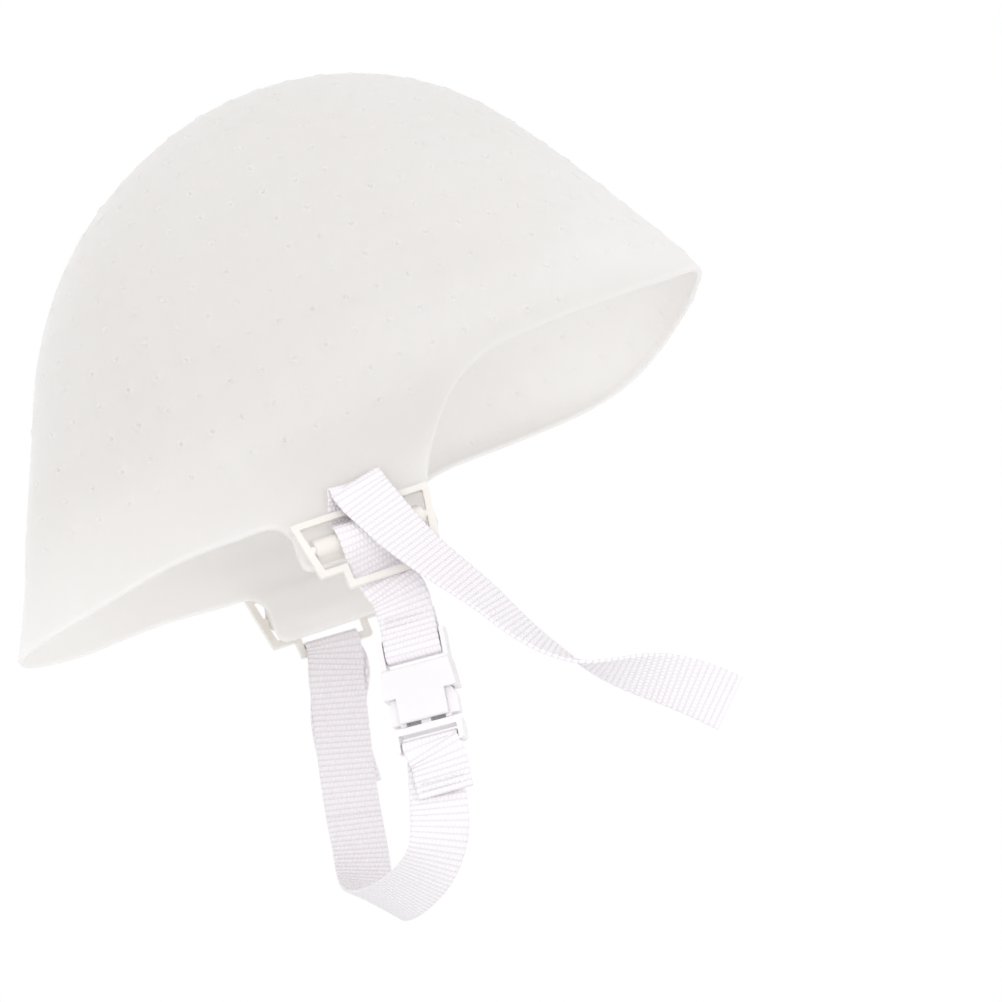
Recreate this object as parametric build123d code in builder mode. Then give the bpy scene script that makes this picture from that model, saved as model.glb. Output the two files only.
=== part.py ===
"""A silicone highlighting cap with a buckled chin strap, in millimetres.

+X points to the forehead brim, +Y to the wearer's left and +Z up through the crown. The origin is
midway between the two ear tabs, level with the top bars of the strap frames. The straps hang plumb.
The cap itself leans: its own base plane rises towards the forehead.
"""

from build123d import *
from math import copysign, cos, pi, radians, sin
import os

os.makedirs("parts", exist_ok=True)

# The cap's own planes: base is flat under the cap, side looks along +Y.
lean = 11.25
base = Plane(
    origin=(0, 0, 0),
    x_dir=(cos(radians(lean)), 0, sin(radians(lean))),
    z_dir=(-sin(radians(lean)), 0, cos(radians(lean))),
)
side = Plane(origin=(0, 0, 0), x_dir=base.x_dir, z_dir=(0, -1, 0))

# Silicone dome: height, back, front, place of the widest point, half width, and the roundness of
# the back and front halves (2 is an ellipse, more is blunter).
wall = 1.2
dome_levels = [
    (-16.0, -103.0, 125.0, 4.0, 33.0, 2.0, 2.6),
    (0.0, -97.5, 125.0, 4.0, 33.0, 2.0, 2.6),
    (15.0, -90.5, 125.0, 30.0, 40.0, 1.9, 2.7),
    (30.0, -84.5, 125.0, 64.0, 53.5, 1.7, 2.8),
    (45.0, -78.0, 122.5, 58.0, 56.0, 1.85, 2.5),
    (60.0, -71.5, 116.0, 48.0, 57.0, 2.0, 2.2),
    (75.0, -65.0, 108.5, 38.0, 56.0, 2.0, 2.1),
    (90.0, -56.5, 100.5, 29.0, 53.0, 2.0, 2.0),
    (106.0, -43.5, 90.0, 25.0, 46.5, 2.0, 2.0),
    (119.0, -27.5, 78.0, 24.0, 36.5, 2.0, 2.0),
    (129.0, -9.0, 62.0, 25.0, 25.0, 2.0, 2.0),
    (134.5, 8.0, 46.0, 26.0, 13.0, 2.0, 2.0),
    (136.5, 20.0, 34.0, 27.0, 4.5, 2.0, 2.0),
]
ring_points = 32

# Opening's edge, seen from the side: nape edge, ear tab, forehead brim.
tab_half_length = 19.5
tab_bottom = -11.0
nape_edge = [(-107, -0.7), (-76, 1.2), (-50, 4.5), (-34, 4.4)]
nape_fillet = 7.0
brim_edge = [
    (19.5, -1),
    (22.5, 6),
    (28.5, 15),
    (36, 22.5),
    (46, 27),
    (62, 29),
    (88, 30.5),
    (108, 33),
    (130, 42),
]
above_dome = 150.0
beyond_dome = 80.0

# Strap frames: a flat stepped outline with one opening, hung on a bar inside each tab's hem.
frame_out = 36.1
frame_thick = 2.2
bar = 1.8
frame_top_half = 20.5
frame_foot_half = 17.6
frame_foot = -15.9
frame_neck_half = 11.0
frame_bottom = -21.0
hinge_height = -7.5
crossbar_radius = 1.2
crossbar_half_length = 18.0
tunnel_clearance = 0.05
bead_radius = 2.6
bead_half_length = 16.2
hem_root = 31.9
hem_flat = 0.6
frame_rounding = 0.5
# The left frame sits further back and higher than the right one.
right_shift = 0.0
right_rise = 0.0
left_shift = -4.0
left_rise = 4.5

# Webbing.
web_width = 16.0
web_thick = 1.1

# Buckle: its middle, its turn about the vertical, the levels of its parts, and its sizes.
buckle_x = 8.0
buckle_y = -34.5
buckle_turn = -25.0
rail_top = -38.0
socket_bar = -42.6
slot_floor = -46.6
mouth = -62.4
socket_thick = 6.4
socket_half_top = 9.6
socket_half_mouth = 10.5
rail_width = 1.3
rail_thick = 3.8
socket_rounding = 1.0
cavity_half = 9.0
cavity_thick = 3.8
cavity_top = -48.2
window_top = -55.0
window_half = 6.9
wrap_bar_radius = 1.0
wrap_gap = 0.25
clip_top = -63.6
clip_bar = -69.0
clip_foot = -70.2
clip_half = 9.9
clip_thick = 4.6
clip_side = 1.5
clip_head = 1.9
clip_rounding = 1.2
tongue_half = 1.4
tongue_tip = -50.2
blade_thick = 3.2
prong_root = -63.3
prong_tip = -51.0
prong_inner = 5.7
prong_arm = 1.6
prong_rounding = 0.35
pad_foot = -62.4
pad_top = -58.0
pad_half = 9.8

# Stitching.
thread = 0.5
stitch_pitch = 1.6


def ring(level, inset):
    """The points round the dome at one level, going from the brim towards the left ear."""
    height, back, front, widest, half, back_power, front_power = level
    points = []
    for i in range(ring_points):
        turn = 2 * pi * i / ring_points
        power = front_power if cos(turn) > 0 else back_power
        reach = (front - widest if cos(turn) > 0 else widest - back) - inset
        along = copysign(abs(cos(turn)) ** (2 / power), cos(turn))
        across = copysign(abs(sin(turn)) ** (2 / power), sin(turn))
        points.append((widest + reach * along, (half - inset) * across))
    return points


def dome(inset, squash):
    """The closed dome, made smaller by inset all round and lower by the squash factor."""
    with BuildPart() as solid:
        for level in dome_levels:
            with BuildSketch(base.offset(level[0] * squash)):
                with BuildLine():
                    Spline(*ring(level, inset), periodic=True)
                make_face()
        loft()
    return solid.part


def band(stations, width):
    """Webbing through stations: (middle, direction of its width). It is straight between them."""
    middles = [Vector(middle) for middle, _ in stations]
    with BuildPart() as solid:
        for i, (_, across) in enumerate(stations):
            ahead = middles[min(i + 1, len(middles) - 1)] - middles[i]
            behind = middles[i] - middles[max(i - 1, 0)]
            along = (ahead.normalized() if ahead.length else behind.normalized()) + (
                behind.normalized() if behind.length else ahead.normalized()
            )
            along = along.normalized()
            across = Vector(across)
            across = (across - along * across.dot(along)).normalized()
            with BuildSketch(Plane(origin=middles[i], x_dir=across, z_dir=along)):
                Rectangle(width, web_thick)
        loft(ruled=True)
    return solid.part


def on_cap(x, y, z):
    """A place given in the cap's own plane."""
    return base.from_local_coords(Vector(x, y, z))


def tilted(tilt, roll=0.0):
    """The direction of a strap's width: tilt above the cap's own X, then rolled out of its side plane."""
    flat = cos(radians(roll))
    return on_cap(cos(radians(tilt)) * flat, sin(radians(roll)), sin(radians(tilt)) * flat)


def buckled(x, y, z):
    """A place given beside the buckle before its turn about the vertical."""
    ahead = x - buckle_x
    aside = y - buckle_y
    turn = radians(buckle_turn)
    return Vector(
        buckle_x + ahead * cos(turn) - aside * sin(turn),
        buckle_y + ahead * sin(turn) + aside * cos(turn),
        z,
    )


plumb_across = (1, 0, 0)
buckle_across = (cos(radians(buckle_turn)), sin(radians(buckle_turn)), 0)


# Silicone cap: the shell, cut to the opening's edge, with a beaded hem on each ear tab.
outer_dome = dome(0.0, 1.0)
inner_dome = dome(wall, 1 - wall / dome_levels[-1][0])
with BuildPart() as silicone_cap:
    add(outer_dome)
    add(inner_dome, mode=Mode.SUBTRACT)
    with BuildSketch(side):
        with BuildLine():
            nape = Spline(*nape_edge)
            Line(nape @ 1, (-tab_half_length - nape_fillet, nape_edge[-1][1]))
            RadiusArc(
                (-tab_half_length - nape_fillet, nape_edge[-1][1]),
                (-tab_half_length, nape_edge[-1][1] - nape_fillet),
                nape_fillet,
            )
            Polyline(
                (-tab_half_length, nape_edge[-1][1] - nape_fillet),
                (-tab_half_length, tab_bottom),
                (tab_half_length, tab_bottom),
                brim_edge[0],
            )
            brim = Spline(*brim_edge)
            Polyline(brim @ 1, (brim_edge[-1][0], above_dome), (nape_edge[0][0], above_dome), nape @ 0)
        make_face()
    extrude(amount=beyond_dome, both=True, mode=Mode.INTERSECT)
    for sign, shift, rise in ((-1, right_shift, right_rise), (1, left_shift, left_rise)):
        axle = Location(on_cap(shift, sign * frame_out, hinge_height + rise), (0, 90 - lean, 0))
        with Locations(axle):
            Cylinder(bead_radius, 2 * bead_half_length)
        root = (frame_out + hem_root) / 2
        with Locations(Location(on_cap(shift, sign * root, hinge_height + rise), (0, -lean, 0))):
            Box(2 * bead_half_length, frame_out - hem_root, 2 * bead_radius - hem_flat)
        with Locations(axle):
            Cylinder(crossbar_radius + tunnel_clearance, 2 * bead_half_length + 2, mode=Mode.SUBTRACT)
silicone_cap.part.label = "silicone_cap"
export_step(silicone_cap.part, "parts/silicone_cap.step")


def strap_frame(sign, shift, rise):
    """A strap frame at its ear tab: sign is -1 on the right and 1 on the left."""
    plane = Plane(origin=on_cap(shift, sign * frame_out, rise), x_dir=side.x_dir, z_dir=side.z_dir)
    slope = (frame_top_half - frame_foot_half) / (bar / 2 - frame_foot)
    inner_top = frame_top_half - bar * (1 + slope)
    inner_foot = frame_foot_half - bar
    with BuildPart() as frame:
        with BuildSketch(plane):
            with BuildLine():
                Polyline(
                    (-frame_top_half, bar / 2),
                    (-frame_foot_half, frame_foot),
                    (-frame_neck_half, frame_foot),
                    (-frame_neck_half, frame_bottom),
                    (frame_neck_half, frame_bottom),
                    (frame_neck_half, frame_foot),
                    (frame_foot_half, frame_foot),
                    (frame_top_half, bar / 2),
                    close=True,
                )
            make_face()
            with BuildLine():
                Polyline(
                    (-inner_top, -bar / 2),
                    (-inner_foot, frame_foot + bar),
                    (bar - frame_neck_half, frame_foot + bar),
                    (bar - frame_neck_half, frame_bottom + bar),
                    (frame_neck_half - bar, frame_bottom + bar),
                    (frame_neck_half - bar, frame_foot + bar),
                    (inner_foot, frame_foot + bar),
                    (inner_top, -bar / 2),
                    close=True,
                )
            make_face(mode=Mode.SUBTRACT)
        extrude(amount=frame_thick / 2, both=True)
        fillet(frame.edges().filter_by(Axis.Y), frame_rounding)
        with Locations(Location(on_cap(shift, sign * frame_out, hinge_height + rise), (0, 90 - lean, 0))):
            Cylinder(crossbar_radius, 2 * crossbar_half_length)
    return frame.part


right_strap_frame = strap_frame(-1, right_shift, right_rise)
right_strap_frame.label = "right_strap_frame"
export_step(right_strap_frame, "parts/right_strap_frame.step")
left_strap_frame = strap_frame(1, left_shift, left_rise)
left_strap_frame.label = "left_strap_frame"
export_step(left_strap_frame, "parts/left_strap_frame.step")


def hairpin(x, z, rear_first, down):
    """Webbing stations round a buckle bar: from one side of the bar, past its top or foot, to the other."""
    radius = wrap_bar_radius + web_thick / 2 + wrap_gap
    order = range(0, 181, 30) if rear_first else range(180, -1, -30)
    turn = -1 if down else 1
    return [
        (
            buckled(x, buckle_y + radius * cos(radians(a)), z + turn * radius * sin(radians(a))),
            buckle_across,
        )
        for a in order
    ]


# Adjuster strap: sewn round the socket's bar, woven through the right frame, folded over its top
# bar, and ending in a long free tail that turns over once.
tail_stations = [
    (buckled(7.7, -33.9, -31.5), buckle_across),
    (buckled(7.9, -33.2, -36.5), buckle_across),
    *hairpin(buckle_x, socket_bar, True, True),
    (buckled(7.9, -36.0, -38.5), buckle_across),
    (buckled(7.7, -35.5, -31.5), buckle_across),
    (on_cap(2.0, -34.3, -24.5), tilted(-7)),
    (on_cap(1.2, -33.9, -21.5), tilted(-4)),
    (on_cap(0.8, -33.9, -18.4), tilted(-1)),
    (on_cap(0.4, -35.6, -14.5), tilted(0)),
    (on_cap(0.2, -38.3, -11.4), tilted(0)),
    (on_cap(0.0, -39.9, -7.8), tilted(0)),
    (on_cap(0.0, -38.7, -4.4), tilted(0)),
    (on_cap(0.0, -36.0, -3.2), tilted(0)),
    (on_cap(0.1, -34.3, -1.9), tilted(1)),
    (on_cap(0.3, -34.2, 0.8), tilted(4)),
    (on_cap(0.6, -35.5, 3.6), tilted(8)),
    (on_cap(0.8, -36.9, 5.8), tilted(11)),
    (on_cap(0.9, -37.9, 6.9), tilted(12)),
    (on_cap(1.0, -38.9, 6.3), tilted(14)),
    (on_cap(1.6, -39.6, 3.4), tilted(17)),
    (on_cap(3.2, -40.3, -1.5), tilted(19, 6)),
    (on_cap(5.9, -41.3, -9.0), tilted(21, 14)),
    (on_cap(9.6, -42.4, -17.5), tilted(25, 24)),
    (on_cap(15.0, -43.8, -27.5), tilted(29, 32)),
    (on_cap(21.0, -45.0, -38.0), tilted(32, 40)),
    (on_cap(27.0, -45.8, -48.5), tilted(35, 50)),
    (on_cap(32.6, -46.0, -56.2), tilted(40, 64)),
    (on_cap(38.8, -45.8, -61.2), tilted(50, 84)),
    (on_cap(45.6, -45.4, -64.8), tilted(56, 104)),
    (on_cap(53.0, -44.8, -69.2), tilted(54, 122)),
    (on_cap(60.6, -44.0, -74.8), tilted(50, 136)),
    (on_cap(67.8, -43.2, -81.2), tilted(46, 148)),
    (on_cap(74.4, -42.6, -88.0), tilted(43, 158)),
]
tail_strap = band(tail_stations, web_width)
tail_strap.label = "tail_strap"
export_step(tail_strap, "parts/tail_strap.step")

# Loop strap: sewn round the clip's bar, down, under the chin, and up to the left frame's lowest bar.
# Under the chin the webbing tips, with its front edge down.
far_x = -6.0


def tipped(tip):
    """The direction of the loop's width where its front edge is tipped down."""
    return (cos(radians(tip)), 0, -sin(radians(tip)))


def turned(turn):
    """The direction of the loop's width where it is turned about the vertical."""
    return (cos(radians(turn)), sin(radians(turn)), 0)


loop_stations = [
    (buckled(9.6, -36.4, -84.0), buckle_across),
    (buckled(9.5, -36.1, -77.5), buckle_across),
    (buckled(8.7, -36.2, -72.4), buckle_across),
    *hairpin(buckle_x, clip_bar, False, False),
    (buckled(7.7, -33.6, -72.8), buckle_across),
    (buckled(7.4, -34.2, -77.0), turned(-24)),
    ((7.1, -34.5, -83.0), turned(-20)),
    ((6.4, -34.2, -90.0), turned(-11)),
    ((5.0, -31.4, -96.6), tipped(4)),
    ((2.4, -25.0, -101.2), tipped(17)),
    ((-1.0, -15.5, -103.4), tipped(29)),
    ((-4.4, -5.0, -103.6), tipped(37)),
    ((-6.8, 5.0, -102.0), tipped(39)),
    ((-7.6, 14.5, -98.2), tipped(34)),
    ((-7.2, 22.5, -92.6), tipped(23)),
    ((-6.2, 28.8, -85.4), tipped(11)),
    ((-5.4, 32.6, -77.0), tipped(3)),
    ((-5.3, 34.2, -68.0), plumb_across),
    ((-5.7, 34.7, -56.0), plumb_across),
    ((far_x, 34.4, -38.0), plumb_across),
    (on_cap(left_shift - 1.2, 34.1, left_rise - 25.0), tilted(-7)),
    (on_cap(left_shift - 1.1, 34.0, left_rise - 20.5), tilted(-3)),
    (on_cap(left_shift - 1.1, 34.3, left_rise - 18.6), tilted(-3)),
    (on_cap(left_shift - 1.1, 36.1, left_rise - 17.8), tilted(-3)),
    (on_cap(left_shift - 1.1, 37.9, left_rise - 18.6), tilted(-3)),
    (on_cap(left_shift - 1.0, 38.2, left_rise - 20.5), tilted(-3)),
    (on_cap(left_shift - 0.4, 37.6, left_rise - 25.0), tilted(-6)),
    ((far_x + 1.8, 36.3, -31.0), plumb_across),
    ((far_x + 3.0, 36.2, -59.0), plumb_across),
]
loop_strap = band(loop_stations, web_width)
loop_strap.label = "loop_strap"
export_step(loop_strap, "parts/loop_strap.step")

# Buckle planes: front is the buckle's flat middle with the sketch's Y up, and along is its width.
front = Plane(
    origin=(buckle_x, buckle_y, 0),
    x_dir=buckle_across,
    z_dir=(sin(radians(buckle_turn)), -cos(radians(buckle_turn)), 0),
)
along_width = Axis((buckle_x, buckle_y, 0), buckle_across)
along_depth = Axis((buckle_x, buckle_y, 0), front.z_dir)


def wrap_bar(level, length):
    """The bar that webbing is sewn round, across the buckle at one level."""
    with Locations(Location(Plane(origin=(buckle_x, buckle_y, level), x_dir=(0, 0, 1), z_dir=buckle_across))):
        Cylinder(wrap_bar_radius, length)


# Buckle socket: a flat sleeve, open below and at both sides of its mouth, with a strap bar above.
with BuildPart() as buckle_socket:
    with BuildSketch(front):
        with BuildLine():
            Polyline(
                (-socket_half_top, slot_floor),
                (-socket_half_mouth, window_top),
                (-socket_half_mouth, mouth),
                (socket_half_mouth, mouth),
                (socket_half_mouth, window_top),
                (socket_half_top, slot_floor),
                close=True,
            )
        make_face()
    extrude(amount=socket_thick / 2, both=True)
    fillet(buckle_socket.edges().filter_by(along_width), socket_rounding)
    with BuildSketch(front):
        for sign in (-1, 1):
            with Locations((sign * (socket_half_top - rail_width / 2), (rail_top + slot_floor - 1) / 2)):
                Rectangle(rail_width, rail_top - slot_floor + 1)
    extrude(amount=rail_thick / 2, both=True)
    wrap_bar(socket_bar, 2 * socket_half_top - rail_width)
    with BuildSketch(Plane(origin=(buckle_x, buckle_y, mouth), x_dir=buckle_across, z_dir=(0, 0, 1))):
        Rectangle(2 * cavity_half, cavity_thick)
    extrude(amount=cavity_top - mouth, mode=Mode.SUBTRACT)
    with BuildSketch(front):
        for sign in (-1, 1):
            with Locations((sign * (window_half + socket_half_mouth / 2), (window_top + mouth) / 2 - 1)):
                Rectangle(socket_half_mouth, window_top - mouth + 2)
    extrude(amount=socket_thick, both=True, mode=Mode.SUBTRACT)
buckle_socket.part.label = "buckle_socket"
export_step(buckle_socket.part, "parts/buckle_socket.step")

# Buckle clip: the strap loop and the middle guide blade.
with BuildPart() as buckle_clip:
    with BuildSketch(front):
        with Locations((0, (clip_top + clip_foot) / 2)):
            RectangleRounded(2 * clip_half, clip_top - clip_foot, clip_rounding)
        with Locations((0, (clip_top - clip_head + clip_foot) / 2 - 1)):
            Rectangle(2 * (clip_half - clip_side), clip_top - clip_head - clip_foot + 2, mode=Mode.SUBTRACT)
    extrude(amount=clip_thick / 2, both=True)
    wrap_bar(clip_bar, 2 * clip_half - clip_side)
    with BuildSketch(front):
        with Locations((0, (clip_top + tongue_tip) / 2 - 0.3)):
            Rectangle(2 * tongue_half, tongue_tip - clip_top + 0.6)
    extrude(amount=blade_thick / 2, both=True)
buckle_clip.part.label = "buckle_clip"
export_step(buckle_clip.part, "parts/buckle_clip.step")


def prong(sign):
    """A springy arm of the clip with its finger pad: sign is 1 towards the brim and -1 towards the nape."""
    with BuildPart() as arm:
        with BuildSketch(front):
            with BuildLine():
                Polyline(
                    (sign * prong_inner, prong_root),
                    (sign * (prong_inner + prong_arm), prong_root),
                    (sign * (prong_inner + prong_arm), pad_foot),
                    (sign * pad_half, pad_foot),
                    (sign * pad_half, pad_top),
                    (sign * (prong_inner + prong_arm), prong_tip),
                    (sign * prong_inner, prong_tip),
                    close=True,
                )
            make_face()
        extrude(amount=blade_thick / 2, both=True)
        fillet(arm.edges().filter_by(along_depth), prong_rounding)
    return arm.part


for prong_name, prong_sign in (("front_prong", 1), ("rear_prong", -1)):
    prong_part = prong(prong_sign)
    prong_part.label = prong_name
    export_step(prong_part, f"parts/{prong_name}.step")


def stitch_row(middle, across, outward, count):
    """A row of short threads lying on webbing: its middle, its direction, and the way out of the web."""
    across = Vector(across).normalized()
    plane = Plane(origin=Vector(middle), x_dir=across, z_dir=Vector(outward).normalized())
    with BuildPart() as row:
        with BuildSketch(plane):
            with GridLocations(stitch_pitch, 1, count, 1):
                SlotOverall(stitch_pitch - 0.4, thread)
        extrude(amount=0.25)
    return row.part


def box_stitch(name, rows):
    """A group of stitch rows, written as one node."""
    group = Compound(label=name, children=[solid for row in rows for solid in row.solids()])
    export_step(group, f"parts/{name}.step")


across_count = 8
face_gap = web_thick / 2 + 0.08
box_stitch(
    "socket_stitching",
    [
        stitch_row(buckled(7.7, depth - face_gap, level), buckle_across, front.z_dir, across_count)
        for depth, level in ((-35.58, -32.6), (-35.7, -34.4))
    ],
)
box_stitch(
    "clip_stitching",
    [
        stitch_row(buckled(9.5, -36.25 - face_gap, level), buckle_across, front.z_dir, across_count)
        for level in (-80.0, -82.0)
    ],
)
box_stitch(
    "left_frame_stitching",
    [
        stitch_row((far_x + 2.9, 36.2 + face_gap, level), plumb_across, (0, 1, 0), across_count)
        for level in (-55.0, -57.0)
    ],
)
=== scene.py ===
"""A silicone highlighting cap with its webbing straps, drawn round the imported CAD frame.

Lengths in the tables are millimetres in the row frame, or in the cap's own frame, which leans.
Meshes are metres."""

from math import cos, pi, radians, sin

import bpy
import numpy as np
from mathutils import Matrix, Vector
from mathutils.geometry import delaunay_2d_cdt


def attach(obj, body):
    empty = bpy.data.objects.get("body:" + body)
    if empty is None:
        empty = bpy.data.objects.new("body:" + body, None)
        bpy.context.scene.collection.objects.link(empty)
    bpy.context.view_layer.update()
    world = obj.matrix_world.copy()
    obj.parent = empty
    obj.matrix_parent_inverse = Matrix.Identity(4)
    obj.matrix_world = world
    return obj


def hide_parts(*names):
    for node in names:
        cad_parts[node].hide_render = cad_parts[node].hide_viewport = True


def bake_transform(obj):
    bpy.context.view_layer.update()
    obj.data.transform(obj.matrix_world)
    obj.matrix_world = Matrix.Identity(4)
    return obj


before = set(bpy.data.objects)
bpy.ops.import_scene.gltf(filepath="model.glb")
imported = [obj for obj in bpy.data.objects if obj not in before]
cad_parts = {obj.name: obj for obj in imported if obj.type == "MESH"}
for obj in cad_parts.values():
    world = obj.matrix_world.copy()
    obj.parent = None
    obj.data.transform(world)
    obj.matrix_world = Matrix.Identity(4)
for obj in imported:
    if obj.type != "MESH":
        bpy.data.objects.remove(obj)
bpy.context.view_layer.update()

mm = 0.001
lean = radians(11.25)
rng = np.random.default_rng(7)


def turned(direction):
    """A direction given in the cap's own frame, in the row frame."""
    x, y, z = np.moveaxis(np.asarray(direction, float), -1, 0)
    return np.stack((x * cos(lean) - z * sin(lean), y, x * sin(lean) + z * cos(lean)), -1)


def on_cap(x, y, z):
    """A place in the cap's own frame, in the row frame."""
    return tuple(turned((x, y, z)))


# ---------------------------------------------------------------- camera, light and floor

view_width = 276.55
view_turn = radians(15)
view_rise = radians(15)
roll = radians(22.5)
aim_right = 39.33
aim_up = 2.62
scene = bpy.context.scene
look = np.array((sin(view_turn) * cos(view_rise), cos(view_turn) * cos(view_rise), sin(view_rise)))
level_right = np.array((cos(view_turn), -sin(view_turn), 0.0))
level_up = np.cross(level_right, look)
right = turned(level_right * cos(roll) - level_up * sin(roll))
up = turned(level_right * sin(roll) + level_up * cos(roll))
look = turned(look)
aim = turned((0, -34, 0)) + right * aim_right + up * aim_up
camera_data = bpy.data.cameras.new("camera")
camera_data.lens = 200
camera_data.sensor_width = 36
camera_data.clip_start = 0.05
camera = bpy.data.objects.new("camera", camera_data)
scene.collection.objects.link(camera)
distance = view_width * camera_data.lens / camera_data.sensor_width
place = (aim - look * distance) * mm
camera.matrix_world = Matrix((
    (right[0], up[0], -look[0], place[0]),
    (right[1], up[1], -look[1], place[1]),
    (right[2], up[2], -look[2], place[2]),
    (0, 0, 0, 1),
))
scene.camera = camera
scene.view_settings.view_transform = "Standard"

world = bpy.data.worlds.new("studio")
world.use_nodes = True
world.node_tree.nodes["Background"].inputs["Color"].default_value = (1, 1, 1, 1)
world.node_tree.nodes["Background"].inputs["Strength"].default_value = 1.0
scene.world = world


def softbox(name, place, size, energy):
    """A square area light that looks at the middle of the cap."""
    data = bpy.data.lights.new(name, "AREA")
    data.size = size
    data.energy = energy
    lamp = bpy.data.objects.new(name, data)
    lamp.location = place
    way = Vector((0.01, 0, 0.02)) - Vector(place)
    lamp.rotation_euler = way.to_track_quat("-Z", "Y").to_euler()
    scene.collection.objects.link(lamp)


softbox("key", (0.35, -0.75, 0.75), 0.6, 0.3)
softbox("fill", (-0.35, -1.3, -0.25), 0.9, 2.6)
softbox("low", (0.3, -1.0, -0.5), 0.5, 0.9)
softbox("back", (-0.5, 0.7, 0.5), 0.7, 0.4)

# ---------------------------------------------------------------- materials


def material(name, colour, roughness, build=None, **sockets):
    """A principled material: its constant values sit on the shader's own sockets."""
    made = bpy.data.materials.new(name)
    made.use_nodes = True
    tree = made.node_tree
    shader = tree.nodes["Principled BSDF"]
    shader.inputs["Base Color"].default_value = (*colour, 1)
    shader.inputs["Roughness"].default_value = roughness
    shader.inputs["Subsurface Radius"].default_value = (1.0, 0.97, 0.94)
    for socket, value in sockets.items():
        shader.inputs[socket.replace("_", " ")].default_value = value
    if build:
        build(tree, shader)
    return made


def add(tree, kind, **values):
    """A new node, with the values of its settings and sockets."""
    node = tree.nodes.new("ShaderNode" + kind)
    for key, value in values.items():
        if hasattr(node, key):
            setattr(node, key, value)
        else:
            node.inputs[key.replace("_", " ")].default_value = value
    return node


def noise(tree, scale, detail=3.0):
    """Noise in the object's own metres."""
    place = add(tree, "TexCoord")
    node = add(tree, "TexNoise", Scale=scale, Detail=detail)
    tree.links.new(place.outputs["Object"], node.inputs["Vector"])
    return node.outputs["Fac"]


def tint(tree, shader, factor, low, high, start=0.35, end=0.65):
    """The base colour, between two colours by a factor."""
    ramp = add(tree, "ValToRGB")
    ramp.color_ramp.elements[0].position = start
    ramp.color_ramp.elements[1].position = end
    ramp.color_ramp.elements[0].color = (*low, 1)
    ramp.color_ramp.elements[1].color = (*high, 1)
    tree.links.new(factor, ramp.inputs["Fac"])
    tree.links.new(ramp.outputs["Color"], shader.inputs["Base Color"])


def spread(tree, factor, socket, low, high):
    """A socket's value, between two numbers by a factor."""
    node = add(tree, "MapRange")
    node.inputs["From Min"].default_value = 0.3
    node.inputs["From Max"].default_value = 0.7
    node.inputs["To Min"].default_value = low
    node.inputs["To Max"].default_value = high
    tree.links.new(factor, node.inputs["Value"])
    tree.links.new(node.outputs["Result"], socket)


def bump(tree, shader, height, distance, strength=1.0):
    """Bump from a height between 0 and 1, with its depth in metres."""
    node = add(tree, "Bump", Strength=strength, Distance=distance)
    tree.links.new(height, node.inputs["Height"])
    tree.links.new(node.outputs["Normal"], shader.inputs["Normal"])


def math(tree, operation, first, second=None):
    """One sum of a shader's arithmetic, on sockets or numbers."""
    node = add(tree, "Math", operation=operation)
    for value, socket in zip((first, second), node.inputs):
        if isinstance(value, (int, float)):
            socket.default_value = value
        elif value is not None:
            tree.links.new(value, socket)
    return node.outputs["Value"]


def silicone_nodes(tree, shader):
    """Milky silicone: slow changes of tone, and a fine moulded grain."""
    tint(tree, shader, noise(tree, 22, 2), (0.845, 0.80, 0.765), (0.88, 0.838, 0.805))
    spread(tree, noise(tree, 160), shader.inputs["Roughness"], 0.36, 0.52)
    bump(tree, shader, noise(tree, 1500, 2), 0.00006, 0.5)


rib = 1.65
knot = 1.15


def webbing_nodes(tree, shader):
    """Woven webbing: a row of small knots along every rib, in millimetres on the strap, with the
    base colour painted darker in the hollows between ribs and knots as painted shade.
    """
    place = add(tree, "UVMap", uv_map="weave")
    parts = add(tree, "SeparateXYZ")
    tree.links.new(place.outputs["UV"], parts.inputs["Vector"])
    across = math(tree, "SINE", math(tree, "MULTIPLY", parts.outputs["X"], 2 * pi / knot))
    along = math(tree, "SINE", math(tree, "MULTIPLY", parts.outputs["Y"], pi / rib))
    ridge = math(tree, "MULTIPLY", math(tree, "ABSOLUTE", along), 0.7)
    knots = math(tree, "MULTIPLY", math(tree, "MULTIPLY", across, along), 0.3)
    height = math(tree, "ADD", ridge, knots)
    # painted shade: the base colour darkens with the weave's height, so the hollows between ribs
    # and knots are painted darker
    tint(tree, shader, height, (0.84, 0.80, 0.845), (0.965, 0.935, 0.965), 0.0, 0.6)
    bump(tree, shader, height, 0.0004, 0.8)


def plastic_nodes(low, high):
    """Moulded plastic: a slight change of tone and of gloss, and a fine grain."""

    def build(tree, shader):
        tint(tree, shader, noise(tree, 45, 2), low, high)
        spread(tree, noise(tree, 220), shader.inputs["Roughness"], 0.28, 0.44)
        bump(tree, shader, noise(tree, 900, 2), 0.00004, 0.4)

    return build


def thread_nodes(tree, shader):
    """Twisted thread."""
    tint(tree, shader, noise(tree, 2400, 1), (0.80, 0.785, 0.80), (0.93, 0.92, 0.93))
    bump(tree, shader, noise(tree, 3000, 1), 0.00008, 0.6)


silicone = material("silicone", (0.82, 0.80, 0.78), 0.44, silicone_nodes,
                    Subsurface_Weight=0.85, Subsurface_Scale=0.012, Specular_IOR_Level=0.35)
hem_silicone = material("hem_silicone", (0.86, 0.82, 0.79), 0.44, silicone_nodes,
                        Specular_IOR_Level=0.35)
webbing = material("webbing", (0.86, 0.84, 0.86), 0.75, webbing_nodes,
                   Sheen_Weight=0.25, Sheen_Roughness=0.5)
cream = material("frame_plastic", (0.86, 0.83, 0.79), 0.36,
                 plastic_nodes((0.84, 0.81, 0.765), (0.885, 0.86, 0.82)),
                 Subsurface_Weight=0.15, Subsurface_Scale=0.002)
white = material("buckle_plastic", (0.87, 0.85, 0.87), 0.34,
                 plastic_nodes((0.88, 0.855, 0.875), (0.92, 0.895, 0.915)),
                 Subsurface_Weight=0.15, Subsurface_Scale=0.002)
cotton = material("thread", (0.88, 0.87, 0.88), 0.8, thread_nodes, Sheen_Weight=0.3)

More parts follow.
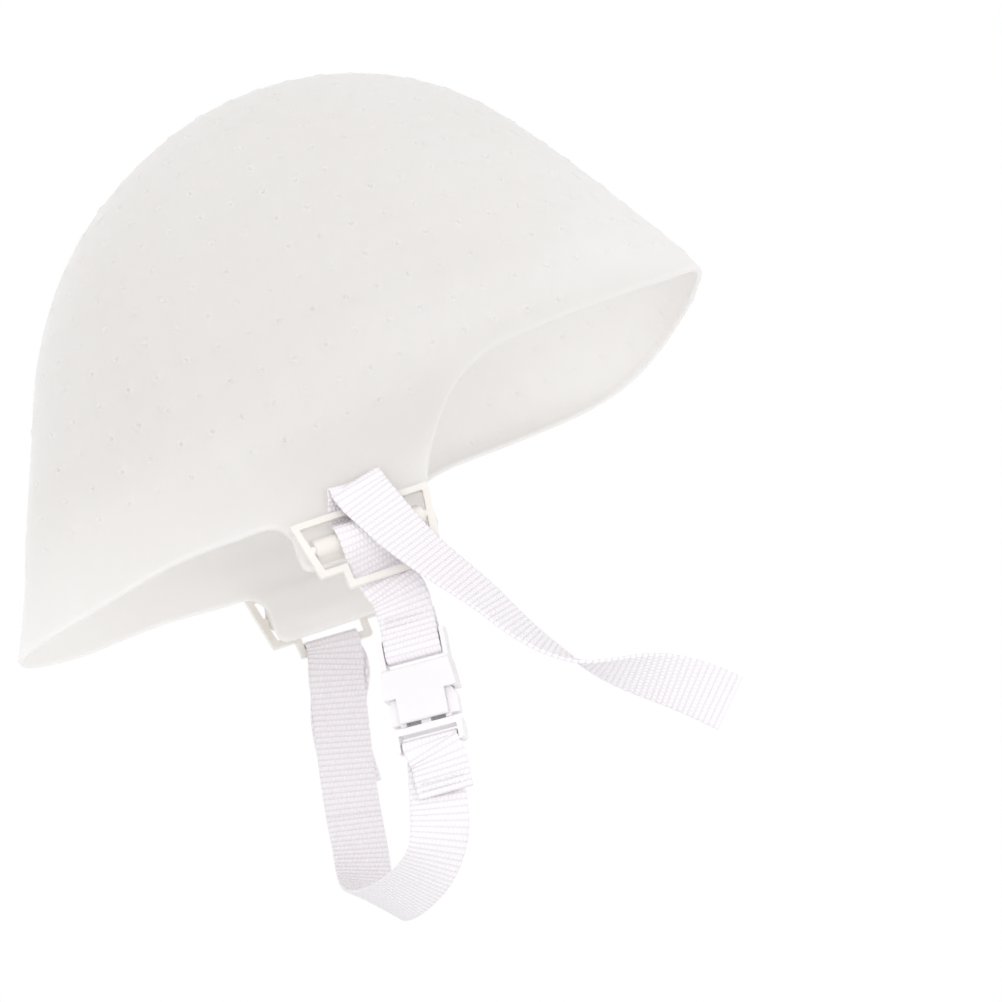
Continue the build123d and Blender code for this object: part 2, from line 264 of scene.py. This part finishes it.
for slot_name, finish, nodes in (
    ("frame_plastic", cream, ("right_strap_frame", "left_strap_frame")),
    ("buckle_plastic", white, ("buckle_socket", "buckle_clip", "front_prong", "rear_prong")),
    ("thread", cotton, ("socket_stitching", "clip_stitching", "left_frame_stitching")),
):
    for node in nodes:
        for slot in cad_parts[node].material_slots:
            slot.material = finish


# ---------------------------------------------------------------- curves and meshes


def smooth(knots, values):
    """A natural cubic spline through values at knots, as a function."""
    knots = np.asarray(knots, float)
    values = np.asarray(values, float)
    gap = np.diff(knots)
    count = len(knots)
    system = np.eye(count)
    target = np.zeros_like(values)
    for i in range(1, count - 1):
        system[i, i - 1:i + 2] = gap[i - 1], 2 * (gap[i - 1] + gap[i]), gap[i]
        rise = np.diff(values[i - 1:i + 2], axis=0)
        target[i] = 6 * (rise[1] / gap[i] - rise[0] / gap[i - 1])
    bend = np.linalg.solve(system, target)

    def at(x):
        x = np.asarray(x, float)
        i = np.clip(np.searchsorted(knots, x) - 1, 0, count - 2)
        a = ((knots[i + 1] - x) / gap[i])[..., None]
        b = ((x - knots[i]) / gap[i])[..., None]
        weight = (gap[i] ** 2 / 6)[..., None]
        curve = (a ** 3 - a) * bend[i] + (b ** 3 - b) * bend[i + 1]
        return a * values[i] + b * values[i + 1] + curve * weight

    return at


def measured(points):
    """The distance along a line of points, at each point."""
    steps = np.linalg.norm(np.diff(np.asarray(points, float), axis=0), axis=1)
    return np.concatenate(([0.0], np.cumsum(steps)))


def through(points, step):
    """A smooth line through points, with a point about every step."""
    points = np.asarray(points, float)
    knots = measured(points)
    line = smooth(knots, points)(np.linspace(0, knots[-1], 4000))
    length = measured(line)
    wanted = np.linspace(0, length[-1], max(2, round(length[-1] / step) + 1))
    return np.stack([np.interp(wanted, length, column) for column in line.T], -1)


def unit(vectors):
    """The same directions with length 1."""
    return vectors / np.maximum(np.linalg.norm(vectors, axis=-1, keepdims=True), 1e-9)


def mesh_object(name, vertices, faces, finish):
    """A smooth-shaded object from millimetres in the row frame."""
    mesh = bpy.data.meshes.new(name)
    mesh.from_pydata([tuple(v) for v in np.asarray(vertices) * mm], [], faces)
    mesh.validate()
    mesh.polygons.foreach_set("use_smooth", [True] * len(mesh.polygons))
    mesh.materials.append(finish)
    made = bpy.data.objects.new(name, mesh)
    scene.collection.objects.link(made)
    return made


# ---------------------------------------------------------------- silicone cap

wall = 1.2
dome_levels = [
    (-16.0, -103.0, 125.0, 4.0, 33.0, 2.0, 2.6),
    (0.0, -97.5, 125.0, 4.0, 33.0, 2.0, 2.6),
    (15.0, -90.5, 125.0, 30.0, 40.0, 1.9, 2.7),
    (30.0, -84.5, 125.0, 64.0, 53.5, 1.7, 2.8),
    (45.0, -78.0, 122.5, 58.0, 56.0, 1.85, 2.5),
    (60.0, -71.5, 116.0, 48.0, 57.0, 2.0, 2.2),
    (75.0, -65.0, 108.5, 38.0, 56.0, 2.0, 2.1),
    (90.0, -56.5, 100.5, 29.0, 53.0, 2.0, 2.0),
    (106.0, -43.5, 90.0, 25.0, 46.5, 2.0, 2.0),
    (119.0, -27.5, 78.0, 24.0, 36.5, 2.0, 2.0),
    (129.0, -9.0, 62.0, 25.0, 25.0, 2.0, 2.0),
    (134.5, 8.0, 46.0, 26.0, 13.0, 2.0, 2.0),
    (136.5, 20.0, 34.0, 27.0, 4.5, 2.0, 2.0),
]
tab_half = 19.5
tab_bottom = -11.0
nape_edge = [(-107, -0.7), (-76, 1.2), (-50, 4.5), (-34, 4.4)]
nape_fillet = 7.0
brim_edge = [(19.5, -1), (22.5, 6), (28.5, 15), (36, 22.5), (46, 27), (62, 29), (88, 30.5),
             (108, 33), (130, 42)]

# The dome's profile from its apex down: height, widest place, reach in front, reach behind,
# half width, and the powers of its outline in front and behind.
profile = [(136.9, 27.0, 0.0, 0.0, 0.0, 2.0, 2.0)] + [
    (height, widest, front - widest, widest - back, half, front_power, back_power)
    for height, back, front, widest, half, back_power, front_power in reversed(dome_levels)
]
profile = np.array(profile)
mean_reach = (profile[:, 2] / 2 + profile[:, 3] / 2 + profile[:, 4]) / 2
fall = measured(np.stack((profile[:, 0], mean_reach), -1))
mirror = np.array((1, 1, -1, -1, -1, 1, 1))
dome_at = smooth(np.concatenate((-fall[3:0:-1], fall)),
                 np.concatenate((profile[3:0:-1] * mirror, profile)))

row_gap = 0.5
table_falls = np.arange(0, fall[-1], row_gap)
half_turns = np.linspace(0, pi, 361)
rows = []
girth = []
turns = np.linspace(0, pi, 1441)
for values in dome_at(table_falls):
    height, widest, ahead, behind, half, front_power, back_power = values
    c = np.cos(turns)
    s = np.sin(turns)
    power = np.where(c > 0, front_power, back_power)
    reach = np.where(c > 0, ahead, behind)
    x = widest + reach * np.sign(c) * np.abs(c) ** (2 / power)
    y = half * np.abs(s) ** (2 / power)
    arc = measured(np.stack((x, y), -1))
    share = arc / max(arc[-1], 1e-9) * pi if arc[-1] > 1e-6 else turns
    rows.append(np.stack((np.interp(half_turns, share, x), np.interp(half_turns, share, y),
                          np.full(len(half_turns), height)), -1))
    girth.append(arc[-1] / pi)
surface = np.array(rows)
girth = np.maximum(np.array(girth), table_falls * 0.5)
growth = 1 / np.maximum(girth, 0.5)
spread_log = np.concatenate(([0.0], np.cumsum((growth[1:] + growth[:-1]) / 2 * row_gap)))
start_row = 4
disc_radius = np.exp(spread_log - spread_log[start_row]) * table_falls[start_row]
disc_radius[:start_row] = table_falls[:start_row]


def to_disc(down, turn):
    """A place on the dome, by its distance down from the apex and its turn, on the flat disc."""
    radius = np.interp(down, table_falls, disc_radius)
    return np.stack((radius * np.cos(turn), radius * np.sin(turn)), -1)


def from_disc(place):
    """The dome's point, in the cap's own frame, at a place on the flat disc."""
    place = np.asarray(place, float)
    radius = np.hypot(place[..., 0], place[..., 1])
    turn = np.arctan2(place[..., 1], place[..., 0])
    down = np.interp(radius, disc_radius, table_falls) / row_gap
    column = np.abs(turn) / pi * (len(half_turns) - 1)
    i = np.clip(down.astype(int), 0, len(surface) - 2)
    j = np.clip(column.astype(int), 0, len(half_turns) - 2)
    a = (down - i)[..., None]
    b = (column - j)[..., None]
    point = (surface[i, j] * (1 - a) * (1 - b) + surface[i + 1, j] * a * (1 - b)
             + surface[i, j + 1] * (1 - a) * b + surface[i + 1, j + 1] * a * b)
    point[..., 1] *= np.where(turn < 0, -1.0, 1.0)
    return point


def disc_step(place):
    """How far on the disc one millimetre goes, at places."""
    radius = np.hypot(place[..., 0], place[..., 1])
    down = np.interp(radius, disc_radius, table_falls)
    return np.maximum(radius, 1) / np.maximum(np.interp(down, table_falls, girth), 1)


def slopes(place):
    """The dome's change per unit of the disc's two directions, at places."""
    step = 0.6 * disc_step(place)[..., None]
    first = (from_disc(place + step * (1, 0)) - from_disc(place - step * (1, 0))) / (2 * step)
    second = (from_disc(place + step * (0, 1)) - from_disc(place - step * (0, 1))) / (2 * step)
    return first, second


def outward(place):
    """The dome's normal, at places on the disc."""
    first, second = slopes(place)
    return unit(np.cross(first, second))


# The opening's edge on one half, from the nape's middle to the brim's middle, seen from the side.
nape_line = through(nape_edge, 1.3)
arc = np.radians(np.arange(90, -1, -12))
corner = np.stack((-tab_half - nape_fillet + nape_fillet * np.cos(arc),
                   nape_edge[-1][1] - nape_fillet + nape_fillet * np.sin(arc)), -1)
before_corner = [(-30.0, nape_edge[-1][1])]
round_foot = 2.0
foot_arc = np.radians(np.arange(180, 271, 22.5))
rear_foot = np.stack((-tab_half + round_foot + round_foot * np.cos(foot_arc),
                      tab_bottom + round_foot + round_foot * np.sin(foot_arc)), -1)
front_foot = rear_foot[::-1] * (-1, 1)
side_count = 5
foot_count = 26
rear_side = np.stack((np.full(side_count, -tab_half),
                      np.linspace(corner[-1][1], rear_foot[0][1], side_count + 2)[1:-1]), -1)
foot = np.stack((np.linspace(rear_foot[-1][0], front_foot[0][0], foot_count + 2)[1:-1],
                 np.full(foot_count, tab_bottom)), -1)
front_side = np.stack((np.full(side_count, tab_half),
                       np.linspace(front_foot[-1][1], brim_edge[0][1], side_count + 2)[1:-1]), -1)
brim_line = through(brim_edge, 1.3)
edge = np.concatenate((nape_line, before_corner, corner, rear_side, rear_foot, foot, front_foot,
                       front_side, brim_line))
heights = surface[:, 0, 2]
edge_down = np.interp(edge[:, 1], heights[::-1], table_falls[::-1])
edge_turn = []
inside = []
for (x, z), down in zip(edge, edge_down):
    above = int(down / row_gap)
    part = down / row_gap % 1
    row = surface[above] * (1 - part) + surface[above + 1] * part
    edge_turn.append(np.interp(-x, -row[:, 0], half_turns))
    inside.append(row[-1, 0] < x < row[0, 0])
edge_turn = np.array(edge_turn)
inside = np.array(inside)
nape_end = (edge_down[inside][0], pi)
brim_end = (edge_down[inside][-1], 0.0)
left_down = np.concatenate(([nape_end[0]], edge_down[inside], [brim_end[0]]))
left_turn = np.concatenate(([nape_end[1]], edge_turn[inside], [brim_end[1]]))
rim_down = np.concatenate((left_down, left_down[-2:0:-1]))
rim_turn = np.concatenate((left_turn, -left_turn[-2:0:-1]))
rim = to_disc(rim_down, rim_turn)
rim_points = from_disc(rim)
closest_rim = 0.5
keep = np.ones(len(rim), bool)
last = rim_points[0]
for i in range(1, len(rim)):
    if np.linalg.norm(rim_points[i] - last) < closest_rim:
        keep[i] = False
    else:
        last = rim_points[i]
rim = rim[keep]
rim_points = rim_points[keep]

# Dimples: rows at equal steps down the wall, in columns that start from one line on the side, and
# a grid on the crown.
pitch_along = 9.4
pitch_down = 9.9
column_x = 33.0
crown_down = 44.0
dimples = []
for down in np.arange(crown_down, 160, pitch_down):
    row = surface[int(down / row_gap)]
    arc_length = measured(row[:, :2])
    start = np.interp(-column_x, -row[:, 0], arc_length)
    for k in range(-30, 31):
        reach = start + k * pitch_along
        if 0.3 * pitch_along < reach < arc_length[-1] - 0.3 * pitch_along:
            turn = reach / arc_length[-1] * pi
            dimples += [(down, turn), (down, -turn)]
for i in range(-8, 9):
    x = column_x + i * pitch_along
    slice_points = []
    for down in np.arange(0, crown_down - 0.45 * pitch_down, 0.5):
        row = surface[int(down / row_gap)]
        if row[-1, 0] < x < row[0, 0]:
            turn = np.interp(-x, -row[:, 0], half_turns)
            slice_points.append((down, turn, *from_disc(to_disc(down, turn))[1:]))
    if len(slice_points) > 3:
        slice_points = np.array(slice_points)
        away = np.abs(slice_points[0, 2]) + measured(slice_points[:, 2:])
        for reach in np.arange(0.5, 9) * pitch_along:
            if away[0] <= reach <= away[-1]:
                down = np.interp(reach, away, slice_points[:, 0])
                turn = np.interp(reach, away, slice_points[:, 1])
                dimples += [(down, turn), (down, -turn)]
dimples = np.array(dimples)
centres = to_disc(dimples[:, 0], dimples[:, 1])
centres += rng.normal(0, 0.22, centres.shape) * disc_step(centres)[:, None]
centre_points = from_disc(centres)
edge_gap = np.linalg.norm(centre_points[:, None] - rim_points[None], axis=2).min(1)
rear_first = rim_points[np.argsort(rim_points[:, 0])]
edge_height = np.interp(-centre_points[:, 0], -rear_first[:, 0][::-1], rear_first[:, 2][::-1])
plain_border = 4.2
lowest_dimple = 6
good = ((edge_gap > plain_border) & (edge_height < centre_points[:, 2])
        & (centre_points[:, 2] > lowest_dimple))
centres = centres[good]
centre_points = centre_points[good]
strength = np.clip(rng.normal(0.86, 0.18, len(centres)), 0.4, 1.1)

ring_radii = (0.0, 0.34, 0.62, 0.9, 1.2, 1.6)
ring_heights = (-0.3, -0.22, 0.02, 0.26, 0.2, 0.0)
ring_counts = (1, 6, 9, 11, 12, 12)
first, second = slopes(centres)
normal = unit(np.cross(first, second))
row_way = np.array((1.0, 0, 0)) - normal * normal[:, :1]
row_way = unit(np.where(np.linalg.norm(row_way, axis=1, keepdims=True) > 0.3,
                        row_way, np.cross((0, 1.0, 0), normal)))
side_way = np.cross(normal, row_way)
points = [rim]
relief = [np.zeros(len(rim))]
for radius, height, count in zip(ring_radii, ring_heights, ring_counts):
    for k in range(count):
        angle = 2 * pi * (k + 0.5 * (count % 2)) / count
        offset = radius * (cos(angle) * row_way + sin(angle) * side_way)
        metric = np.stack((np.stack(((first * first).sum(1), (first * second).sum(1)), -1),
                           np.stack(((first * second).sum(1), (second * second).sum(1)), -1)), 1)
        target = np.stack(((first * offset).sum(1), (second * offset).sum(1)), -1)
        points.append(centres + np.linalg.solve(metric, target[..., None])[..., 0])
        uneven = rng.uniform(0.4, 1.6, len(centres))
        relief.append(height * strength * uneven)

# The plain surface between them, and a row of points beside the edge.
filler = []
spacing = 3.3
rim_clearance = 3.4
dimple_clearance = 2.6
for down in np.arange(spacing, table_falls[-1], spacing * 0.87):
    around = 2 * pi * np.interp(down, table_falls, girth)
    count = max(6, round(around / spacing))
    turn = (np.arange(count) + 0.5 * (round(down / spacing) % 2)) / count * 2 * pi - pi
    filler.append(to_disc(np.full(count, down), turn))
filler = np.concatenate(filler)
filler_points = from_disc(filler)
clear = np.array([np.linalg.norm(rim_points - p, axis=1).min() > rim_clearance
                  for p in filler_points])
clear &= np.array([np.linalg.norm(centre_points - p, axis=1).min() > dimple_clearance
                   for p in filler_points])
filler = filler[clear]
points.append(filler)
relief.append(np.zeros(len(filler)))
along_rim = np.roll(rim, -1, 0) - np.roll(rim, 1, 0)
inward = unit(np.stack((along_rim[:, 1], -along_rim[:, 0]), -1))
if (inward * (rim - rim.mean(0))).sum() > 0:
    inward = -inward
for depth in (1.1, 2.3):
    beside = rim + inward * depth * disc_step(rim)[:, None]
    beside_points = from_disc(beside)
    gap = np.array([np.linalg.norm(rim_points - p, axis=1).min() for p in beside_points])
    beside = beside[gap > depth * 0.8]
    points.append(beside)
    relief.append(np.zeros(len(beside)))
points = np.concatenate(points)
relief = np.concatenate(relief)

rim_edges = [(i, (i + 1) % len(rim)) for i in range(len(rim))]
flat, _, faces, origin, _, _ = delaunay_2d_cdt([Vector(p) for p in points], rim_edges, [], 1, 1e-5)
flat = np.array([tuple(p) for p in flat])
lift = np.array([relief[o[0]] if o else 0.0 for o in origin])
skin = from_disc(flat)

# The left wall is pressed in a little beside its strap frame, which swings there.
press_x = -4
press_z = 8
press_length = 25
press_height = 8
press_depth = 0.9
beside_frame = np.exp(-(((skin[:, 0] - press_x) / press_length) ** 4
                        + ((skin[:, 2] - press_z) / press_height) ** 4))
skin[:, 1] -= press_depth * np.where(skin[:, 1] > 0, beside_frame, 0)
skin_normal = outward(flat)
if (skin_normal * (skin - (30, 0, 40))).sum() < 0:
    skin_normal = -skin_normal
to_rim = np.array([np.linalg.norm(rim_points - p, axis=1).min() for p in skin])
lip_height = 0.28
lip_width = 3.2
lip = lip_height * np.clip(1 - to_rim / lip_width, 0, 1) ** 1.5
outer = skin + skin_normal * (lift + lip)[:, None]
inner = skin - skin_normal * (wall + lip - 0.2 * lift)[:, None]
faces = [tuple(f) for f in faces]
a, b, c = (skin[[f[k] for f in faces]] for k in range(3))
if (np.cross(b - a, c - a) * skin_normal[[f[0] for f in faces]]).sum() < 0:
    faces = [f[::-1] for f in faces]
count = len(outer)
vertices = [outer, inner]
shell_faces = faces + [tuple(i + count for i in f[::-1]) for f in faces]

# The rounded lip between the outside and the inside.
rim_of = {o: i for i, found in enumerate(origin) for o in found if o < len(rim)}
loop = [rim_of[i] for i in range(len(rim))]
skin_loop = skin[loop]
way = unit(np.roll(skin_loop, -1, 0) - np.roll(skin_loop, 1, 0))
outward_way = unit(np.cross(way, skin_normal[loop]))
if (outward_way * (skin_loop - from_disc(rim + inward * disc_step(rim)[:, None]))).sum() < 0:
    outward_way = -outward_way
middle = (outer[loop] + inner[loop]) / 2
half_lip = np.linalg.norm(outer[loop] - inner[loop], axis=1, keepdims=True) / 2
previous = loop
total = 2 * count
for angle in np.radians((45, 90, 135)):
    vertices.append(middle + half_lip * (skin_normal[loop] * cos(angle) + outward_way * sin(angle)))
    current = list(range(total, total + len(loop)))
    total += len(loop)
    shell_faces += [(previous[i], previous[(i + 1) % len(loop)],
                     current[(i + 1) % len(loop)], current[i]) for i in range(len(loop))]
    previous = current
inner_loop = [i + count for i in loop]
shell_faces += [(previous[i], previous[(i + 1) % len(loop)],
                 inner_loop[(i + 1) % len(loop)], inner_loop[i]) for i in range(len(loop))]

# The hem on each ear tab: a beaded tunnel for the frame's crossbar, flared into the tab.
frame_out = 36.1
hinge_height = -7.5
bead_radius = 2.6
bead_half = 16.2
bore = 1.27
hem_back = 3.8
flare_start = 92
flare_span = 38
flare_reach = 4.9
segments = 36
hem_vertices = []
hem_faces = []
hem_total = 0
left_shift = -4.0
left_rise = 4.5
for sign, shift, rise in ((-1, 0.0, 0.0), (1, left_shift, left_rise)):
    around = np.linspace(-pi, pi, segments, endpoint=False)
    flare = np.clip((np.degrees(np.abs(around)) - flare_start) / flare_span, 0, 1)
    flare = flare * flare * (3 - 2 * flare)
    wall_reach = np.minimum(hem_back / np.maximum(-np.cos(around), 0.05), flare_reach)
    reach = bead_radius + (wall_reach - bead_radius) * flare
    stations = [(-bead_half, bore), (-bead_half, reach - 0.55), (-bead_half + 0.2, reach - 0.2)]
    stations += [(x, reach) for x in np.linspace(-bead_half + 0.6, bead_half - 0.6, 24)]
    stations += [(bead_half - 0.2, reach - 0.2), (bead_half, reach - 0.55), (bead_half, bore)]
    stations += [(x, bore) for x in np.linspace(bead_half, -bead_half, 6)[1:-1]]
    base_index = hem_total
    for x, radius in stations:
        radius = np.broadcast_to(radius, around.shape)
        ripple = 0.06 * sin(x * 1.9) * (radius > 2)
        radius = radius + ripple
        hem_vertices.append(np.stack((np.full(segments, shift + x),
                                      sign * (frame_out + radius * np.cos(around)),
                                      hinge_height + rise + radius * np.sin(around)), -1))
        hem_total += segments
    for i in range(len(stations)):
        for k in range(segments):
            low = base_index + i * segments
            high = base_index + (i + 1) % len(stations) * segments
            quad = (low + k, low + (k + 1) % segments, high + (k + 1) % segments, high + k)
            hem_faces.append(quad if sign > 0 else quad[::-1])
cap = mesh_object("silicone_shell", turned(np.concatenate(vertices)), shell_faces,
                  silicone)
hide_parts("silicone_cap")
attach(cap, "cap")
hems = mesh_object("tab_hems", turned(np.concatenate(hem_vertices)), hem_faces,
                   hem_silicone)
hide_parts("silicone_cap")
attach(hems, "cap")
hems.visible_shadow = False
hems.visible_diffuse = False

# ---------------------------------------------------------------- webbing straps

web_half = 8.0
web_thick = 1.1
flat_half = 7.55
flat_count = 21
buckle_y = -34.5
wrap_radius = 1.8
socket_bar = -42.6
clip_bar = -69.0
plumb = (1.0, 0.0, 0.0)
buckle_x = 8.0
buckle_turn = radians(-25)
buckle_way = (cos(buckle_turn), sin(buckle_turn), 0.0)


def buckled(x, y, z):
    """A place given beside the buckle before its turn about the vertical."""
    return (buckle_x + (x - buckle_x) * cos(buckle_turn) - (y - buckle_y) * sin(buckle_turn),
            buckle_y + (x - buckle_x) * sin(buckle_turn) + (y - buckle_y) * cos(buckle_turn), z)


def tipped(tip):
    """The way of a strap's width where its front edge is tipped down."""
    return (cos(radians(tip)), 0.0, -sin(radians(tip)))


def swung(turn):
    """The way of a strap's width where it is turned about the vertical."""
    return (cos(radians(turn)), sin(radians(turn)), 0.0)


def tilted(tilt, swing=0.0):
    """The way of a strap's width: tilt above the cap's own X, then swung out of its side plane."""
    tilt = radians(tilt)
    swing = radians(swing)
    return on_cap(cos(tilt) * cos(swing), sin(swing), sin(tilt) * cos(swing))


def hairpin(x, z, rear_first, down):
    """Stations round a buckle bar, from one side of it to the other."""
    order = range(0, 181, 30) if rear_first else range(180, -1, -30)
    turn = -1 if down else 1
    return [(buckled(x, buckle_y + wrap_radius * cos(radians(a)),
                     z + turn * wrap_radius * sin(radians(a))), buckle_way) for a in order]


def strap(name, stations, start, end):
    """Ribbed webbing along stations, between two shares of its length."""
    middles = np.array([s[0] for s in stations], float)
    ways = np.array([s[1] for s in stations], float)
    knots = measured(middles)
    line = smooth(knots, np.concatenate((middles, ways), 1))(np.linspace(0, knots[-1], 6000))
    length = measured(line[:, :3])
    first, last = start * length[-1], end * length[-1]
    wanted = np.linspace(first, last, max(8, round((last - first) / rib * 6)))
    line = np.stack([np.interp(wanted, length, column) for column in line.T], -1)
    centre = line[:, :3]
    along = unit(np.gradient(centre, axis=0))
    across = unit(line[:, 3:] - along * (line[:, 3:] * along).sum(1, keepdims=True))
    out = np.cross(along, across)
    flat_steps = np.linspace(-flat_half, flat_half, flat_count)
    edge_steps = np.array((web_half - 0.15, web_half, web_half - 0.15))
    steps = np.concatenate((flat_steps, edge_steps, flat_steps[::-1], -edge_steps))
    edge_up = np.array((0.75, 0.0, -0.75))
    faces_up = np.concatenate((np.ones(flat_count), edge_up, -np.ones(flat_count), -edge_up))
    ridge = np.abs(np.sin(pi * wanted / rib)) ** 0.7
    thick = web_thick / 2 * (0.75 + 0.25 * ridge)
    width = 1 - 0.010 * (1 - ridge)
    grid = (centre[:, None] + across[:, None] * steps[None, :, None] * width[:, None, None]
            + out[:, None] * (faces_up[None, :, None] * thick[:, None, None]))
    rows, columns = grid.shape[:2]
    faces = [(i * columns + k, i * columns + (k + 1) % columns,
              (i + 1) * columns + (k + 1) % columns, (i + 1) * columns + k)
             for i in range(rows - 1) for k in range(columns)]
    faces += [tuple(range(columns))[::-1], tuple((rows - 1) * columns + k for k in range(columns))]
    made = mesh_object(name, grid.reshape(-1, 3), faces, webbing)
    layer = made.data.uv_layers.new(name="weave")
    index = np.empty(len(made.data.loops), int)
    made.data.loops.foreach_get("vertex_index", index)
    places = np.stack((np.tile(steps, rows), np.repeat(wanted, columns)), -1)
    layer.data.foreach_set("uv", places[index].astype(np.float32).ravel())
    return made


tail_stations = [
    (buckled(7.7, -33.9, -31.5), buckle_way),
    (buckled(7.9, -33.2, -36.5), buckle_way),
    *hairpin(buckle_x, socket_bar, True, True),
    (buckled(7.9, -36.0, -38.5), buckle_way),
    (buckled(7.7, -35.5, -31.5), buckle_way),
    (on_cap(1.2, -34.5, -25.0), tilted(-6, -10)),
    (on_cap(0.3, -33.9, -21.5), tilted(-3, -3)),
    (on_cap(-0.2, -33.9, -18.4), tilted(-1)),
    (on_cap(-0.9, -35.6, -14.5), tilted(0)),
    (on_cap(-1.4, -38.3, -11.4), tilted(0)),
    (on_cap(-1.7, -39.9, -7.8), tilted(0)),
    (on_cap(-1.7, -38.7, -4.4), tilted(0)),
    (on_cap(-1.5, -36.0, -3.2), tilted(0)),
    (on_cap(-1.2, -34.3, -1.9), tilted(1)),
    (on_cap(-0.6, -34.2, 0.8), tilted(4)),
    (on_cap(0.1, -35.5, 3.6), tilted(8)),
    (on_cap(0.5, -36.9, 5.8), tilted(11)),
    (on_cap(0.8, -37.9, 6.9), tilted(12)),
    (on_cap(1.0, -38.9, 6.3), tilted(14)),
    (on_cap(1.6, -39.6, 3.4), tilted(17)),
    (on_cap(3.2, -40.3, -1.5), tilted(19, 6)),
    (on_cap(5.9, -41.3, -9.0), tilted(21, 14)),
    (on_cap(9.6, -42.4, -17.5), tilted(25, 24)),
    (on_cap(15.0, -43.8, -27.5), tilted(29, 32)),
    (on_cap(21.0, -45.0, -38.0), tilted(32, 40)),
    (on_cap(26.4, -45.8, -48.8), tilted(35, 47)),
    (on_cap(32.0, -46.0, -57.0), tilted(39, 56)),
    (on_cap(38.2, -45.8, -63.4), tilted(46, 70)),
    (on_cap(45.2, -45.4, -68.0), tilted(54, 92)),
    (on_cap(52.8, -44.8, -72.0), tilted(56, 114)),
    (on_cap(60.6, -44.0, -76.4), tilted(51, 134)),
    (on_cap(67.8, -43.2, -81.8), tilted(46, 149)),
    (on_cap(74.4, -42.6, -88.0), tilted(42, 160)),
]
loop_stations = [
    (buckled(9.7, -36.4, -84.0), buckle_way),
    (buckled(9.5, -36.1, -77.5), buckle_way),
    (buckled(8.9, -36.2, -72.4), buckle_way),
    *hairpin(buckle_x, clip_bar, False, False),
    (buckled(7.9, -33.6, -72.8), buckle_way),
    (buckled(7.5, -34.1, -77.0), buckle_way),
    ((7.0, -34.5, -83.0), swung(-22)),
    ((6.3, -34.2, -90.0), swung(-13)),
    ((5.0, -31.4, -96.6), tipped(4)),
    ((2.4, -25.0, -101.2), tipped(17)),
    ((-1.0, -15.5, -103.4), tipped(29)),
    ((-4.4, -5.0, -103.6), tipped(37)),
    ((-6.8, 5.0, -102.0), tipped(39)),
    ((-7.6, 14.5, -98.2), tipped(34)),
    ((-7.2, 22.5, -92.6), tipped(23)),
    ((-6.2, 28.8, -85.4), tipped(11)),
    ((-5.4, 32.6, -77.0), tipped(3)),
    ((-5.2, 34.2, -68.0), plumb),
    ((-4.8, 34.7, -56.0), plumb),
    ((-4.1, 34.6, -44.0), plumb),
    ((-3.4, 34.4, -34.0), plumb),
    ((-2.7, 34.1, -24.3), plumb),
    (on_cap(left_shift - 1.3, 34.0, left_rise - 21.0), tilted(-5)),
    (on_cap(left_shift - 1.1, 34.3, left_rise - 18.6), tilted(-3)),
    (on_cap(left_shift - 1.1, 36.1, left_rise - 17.8), tilted(-3)),
    (on_cap(left_shift - 1.1, 37.9, left_rise - 18.6), tilted(-3)),
    (on_cap(left_shift - 1.0, 38.2, left_rise - 20.5), tilted(-3)),
    (on_cap(left_shift - 0.4, 37.6, left_rise - 25.0), tilted(-6)),
    ((-2.6, 36.3, -31.0), plumb),
    ((-3.0, 36.2, -59.0), plumb),
]


def share_at(stations, number):
    """The share of a strap's length at one of its stations."""
    knots = measured([s[0] for s in stations])
    return knots[number] / knots[-1]


fold_station = 24
far_leg_station = 23
fold = share_at(tail_stations, fold_station)
woven = strap("woven_strap", tail_stations, 0, fold)
free_tail = strap("free_tail", tail_stations, fold, 1)
low = share_at(loop_stations, far_leg_station)
chin_strap = strap("chin_strap", loop_stations, 0, low)
far_strap = strap("far_strap", loop_stations, low, 1)
for piece, node in ((woven, "tail_strap"), (free_tail, "tail_strap"),
                    (chin_strap, "loop_strap"), (far_strap, "loop_strap")):
    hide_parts(node)
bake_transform(woven)
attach(free_tail, "right_frame")
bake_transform(chin_strap)
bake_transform(far_strap)

# ---------------------------------------------------------------- floor

floor_mesh = bpy.data.meshes.new("floor")
reach = 6
level = -0.6
floor_mesh.from_pydata([(-reach, -reach, level), (reach, -reach, level), (reach, reach, level),
                        (-reach, reach, level)], [], [(0, 1, 2, 3)])
floor_mesh.materials.append(material("floor", (0.9, 0.9, 0.9), 0.9))
floor = bpy.data.objects.new("floor", floor_mesh)
scene.collection.objects.link(floor)
